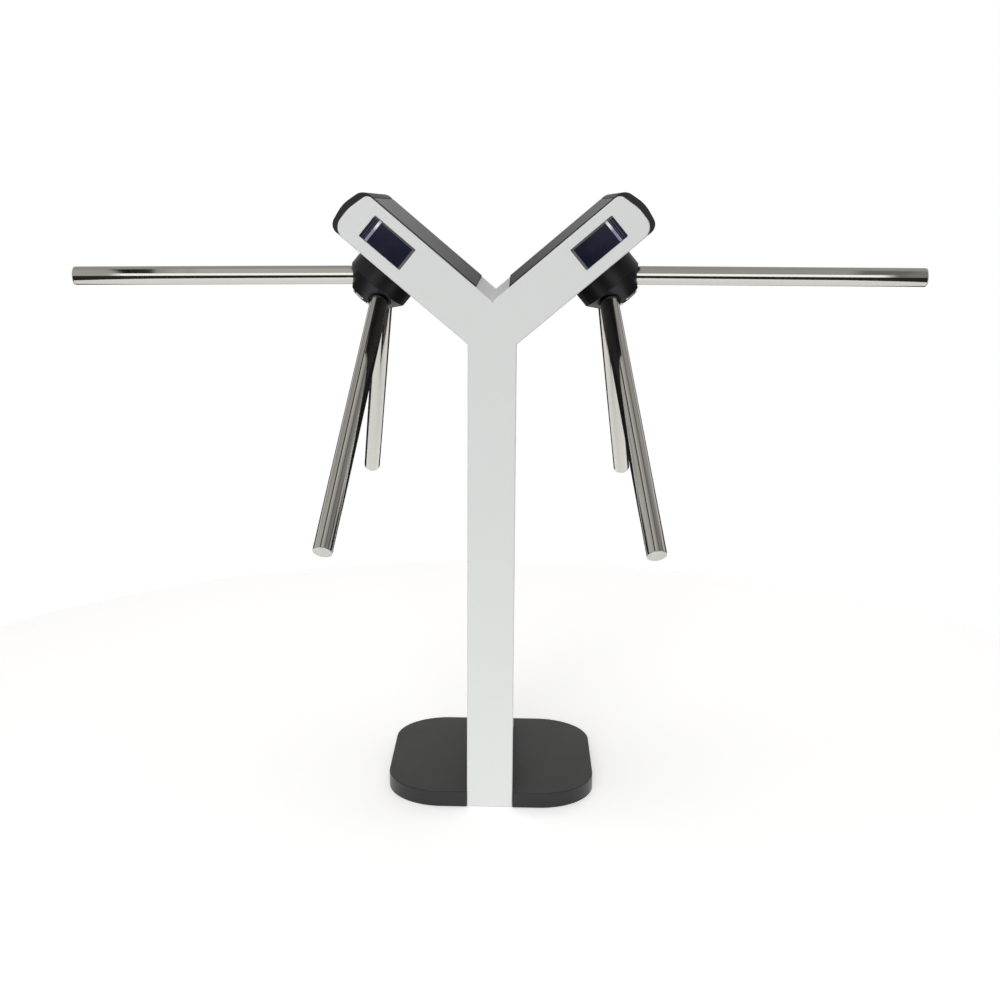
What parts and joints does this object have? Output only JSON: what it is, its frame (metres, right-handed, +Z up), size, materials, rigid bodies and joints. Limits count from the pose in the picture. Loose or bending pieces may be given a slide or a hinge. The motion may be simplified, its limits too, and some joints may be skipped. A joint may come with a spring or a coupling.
{
  "type": "visitor counter turnstile",
  "caption": "Twin tripod visitor counter turnstile: a light grey Y-shaped pillar on a black base, with a black three-bar rotor, counter display and service lid on each arm.",
  "frame": {"origin": "centre of the base's footprint, on the floor", "axes": "+X along the right horizontal bar, +Y away from the display side, +Z up"},
  "size_m": [1.4828, 0.7512, 1.0557],
  "materials": {
    "light_powder_coat": "light grey satin powder coat",
    "black_powder_coat": "black fine-texture powder coat",
    "black_plastic": "black moulded plastic",
    "hub_black": "satin black coating",
    "stainless": "polished stainless tube",
    "chrome_cap": "bright chrome",
    "plug_grey": "light grey plastic plug",
    "steel": "machined steel",
    "zinc_steel": "zinc plated sheet steel",
    "bearing_steel": "ground bearing steel",
    "aluminium": "cast aluminium",
    "brass": "machined brass",
    "display_glass": "smoked acrylic lens",
    "light_guide": "lilac translucent light guide",
    "circuit_board": "green circuit board",
    "rubber": "black rubber",
    "magnet": "nickel plated magnet"
  },
  "bodies": {
    "pillar": {"back_panel": "light_powder_coat", "base_plate": "zinc_steel", "base_screws": "steel", "bearing_housings": "aluminium", "bearing_outer_races": "bearing_steel", "column_frame": "zinc_steel", "control_boards": "circuit_board", "damper_bodies": "black_plastic", "display_modules": "circuit_board", "display_windows": "display_glass", "front_panel": "light_powder_coat", "inlet_grommet": "rubber", "left_base_cover": "black_powder_coat", "left_end_cap": "black_plastic", "left_side_skin": "black_powder_coat", "lid_magnets": "magnet", "mechanism_plates": "zinc_steel", "mechanism_screws": "steel", "panel_spacers": "zinc_steel", "pawl_posts": "steel", "pawl_springs": "steel", "power_supply": "zinc_steel", "right_base_cover": "black_powder_coat", "right_end_cap": "black_plastic", "right_side_skin": "black_powder_coat", "saddle_panel": "light_powder_coat", "sensor_forks": "black_plastic", "solenoids": "zinc_steel", "status_lights": "light_guide", "wiring_harness": "rubber"},
    "left_rotor": {"left_hub": "hub_black", "left_hub_cap": "chrome_cap", "left_hub_screws": "steel", "left_rotor_shaft": "steel", "left_inner_races": "bearing_steel", "left_drive_gear": "steel", "left_index_disc": "steel", "left_bar_side": "stainless", "left_bar_front": "stainless", "left_bar_back": "stainless", "left_bar_plugs": "plug_grey"},
    "left_pinion": {"left_damper_pinion": "brass"},
    "left_pawl": {"left_lock_pawl": "steel"},
    "left_plunger": {"left_lock_plunger": "steel"},
    "left_cover": {"left_lid": "black_powder_coat"},
    "right_rotor": {"right_hub": "hub_black", "right_hub_cap": "chrome_cap", "right_hub_screws": "steel", "right_rotor_shaft": "steel", "right_inner_races": "bearing_steel", "right_drive_gear": "steel", "right_index_disc": "steel", "right_bar_side": "stainless", "right_bar_front": "stainless", "right_bar_back": "stainless", "right_bar_plugs": "plug_grey"},
    "right_pinion": {"right_damper_pinion": "brass"},
    "right_pawl": {"right_lock_pawl": "steel"},
    "right_plunger": {"right_lock_plunger": "steel"},
    "right_cover": {"right_lid": "black_powder_coat"}
  },
  "joints": [
    {"name": "left_rotor_spin", "type": "hinge", "parent": "pillar", "child": "left_rotor", "pos_m": [-0.17909, 0, 0.93115], "axis": [0.6428, 0, 0.766], "continuous": true},
    {"name": "left_pinion_spin", "type": "hinge", "parent": "pillar", "child": "left_pinion", "pos_m": [-0.08987, 0, 0.92547], "axis": [0.6428, 0, 0.766], "continuous": true},
    {"name": "left_pawl_swing", "type": "hinge", "parent": "pillar", "child": "left_pawl", "pos_m": [-0.18137, -0.064, 1.014], "axis": [0.6428, 0, 0.766], "range_deg": [0, 8.3], "stiffness_Nm_per_rad": 0.3, "springref_deg": -17.19},
    {"name": "left_plunger_slide", "type": "slide", "parent": "pillar", "child": "left_plunger", "axis": [0, 1, 0], "range_m": [0, 0.008]},
    {"name": "left_lid_lift", "type": "slide", "parent": "pillar", "child": "left_cover", "axis": [0.6428, 0, 0.766], "range_m": [0, 0.035]},
    {"name": "right_rotor_spin", "type": "hinge", "parent": "pillar", "child": "right_rotor", "pos_m": [0.17909, 0, 0.93115], "axis": [-0.6428, 0, 0.766], "continuous": true},
    {"name": "right_pinion_spin", "type": "hinge", "parent": "pillar", "child": "right_pinion", "pos_m": [0.08987, 0, 0.92547], "axis": [-0.6428, 0, 0.766], "continuous": true},
    {"name": "right_pawl_swing", "type": "hinge", "parent": "pillar", "child": "right_pawl", "pos_m": [0.18137, 0.064, 1.014], "axis": [-0.6428, 0, 0.766], "range_deg": [0, 8.3], "stiffness_Nm_per_rad": 0.3, "springref_deg": -17.19},
    {"name": "right_plunger_slide", "type": "slide", "parent": "pillar", "child": "right_plunger", "axis": [0, -1, 0], "range_m": [0, 0.008]},
    {"name": "right_lid_lift", "type": "slide", "parent": "pillar", "child": "right_cover", "axis": [-0.6428, 0, 0.766], "range_m": [0, 0.035]}
  ],
  "couplings": [
    {"joint": "left_pinion_spin", "follows": "left_rotor_spin", "ratio": -3},
    {"joint": "left_plunger_slide", "follows": "left_pawl_swing", "m_per_rad": 0.055},
    {"joint": "right_pinion_spin", "follows": "right_rotor_spin", "ratio": -3},
    {"joint": "right_plunger_slide", "follows": "right_pawl_swing", "m_per_rad": 0.055}
  ]
}
